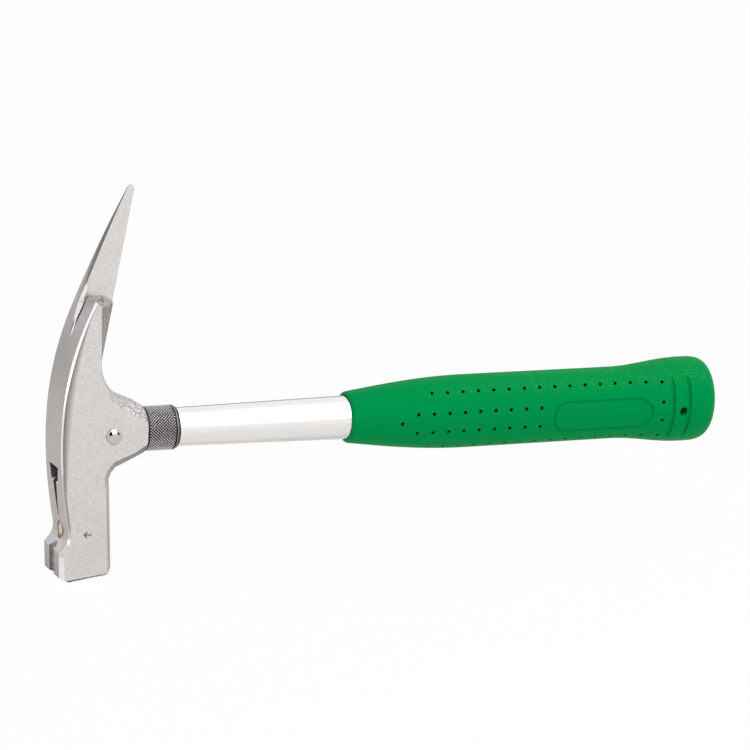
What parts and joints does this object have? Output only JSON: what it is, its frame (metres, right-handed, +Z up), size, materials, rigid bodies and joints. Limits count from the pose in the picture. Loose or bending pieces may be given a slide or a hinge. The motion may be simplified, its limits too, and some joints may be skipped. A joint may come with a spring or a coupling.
{
  "type": "lath hammer",
  "caption": "Carpenter's lath hammer: forged steel head with tapered spike, side and front nail pullers and magnetic nail holder, on a tubular steel handle with a moulded oval grip.",
  "frame": {"origin": "centre of the striking face, on the head's middle plane", "axes": "+X along the handle from the head to the butt, +Y across the head, from the side with the side nail puller's horn to the plain side, +Z up from the striking face to the spike"},
  "size_m": [0.3255, 0.034, 0.1796],
  "materials": {
    "ground_steel": "forged steel, ground and brushed on the sides, as forged at the neck and in the pullers",
    "copper": "bare copper alloy, slightly tarnished",
    "nickel": "nickel plate",
    "polished_steel": "polished rivet head",
    "blackened_steel": "blackened steel with a diamond knurl",
    "chrome": "polished chrome plate",
    "beech": "plain turned beech, out of sight",
    "black_plastic": "plain black, out of sight",
    "green_grip": "satin green moulded grip with a fine grain"
  },
  "bodies": {
    "root": {"head": "ground_steel", "magnet_cup": "copper", "magnet": "nickel", "cross_rivet": "polished_steel", "knurled_collar": "blackened_steel", "handle_tube": "chrome", "core_plug": "beech", "end_plug": "black_plastic", "grip": "green_grip"}
  },
  "joints": []
}
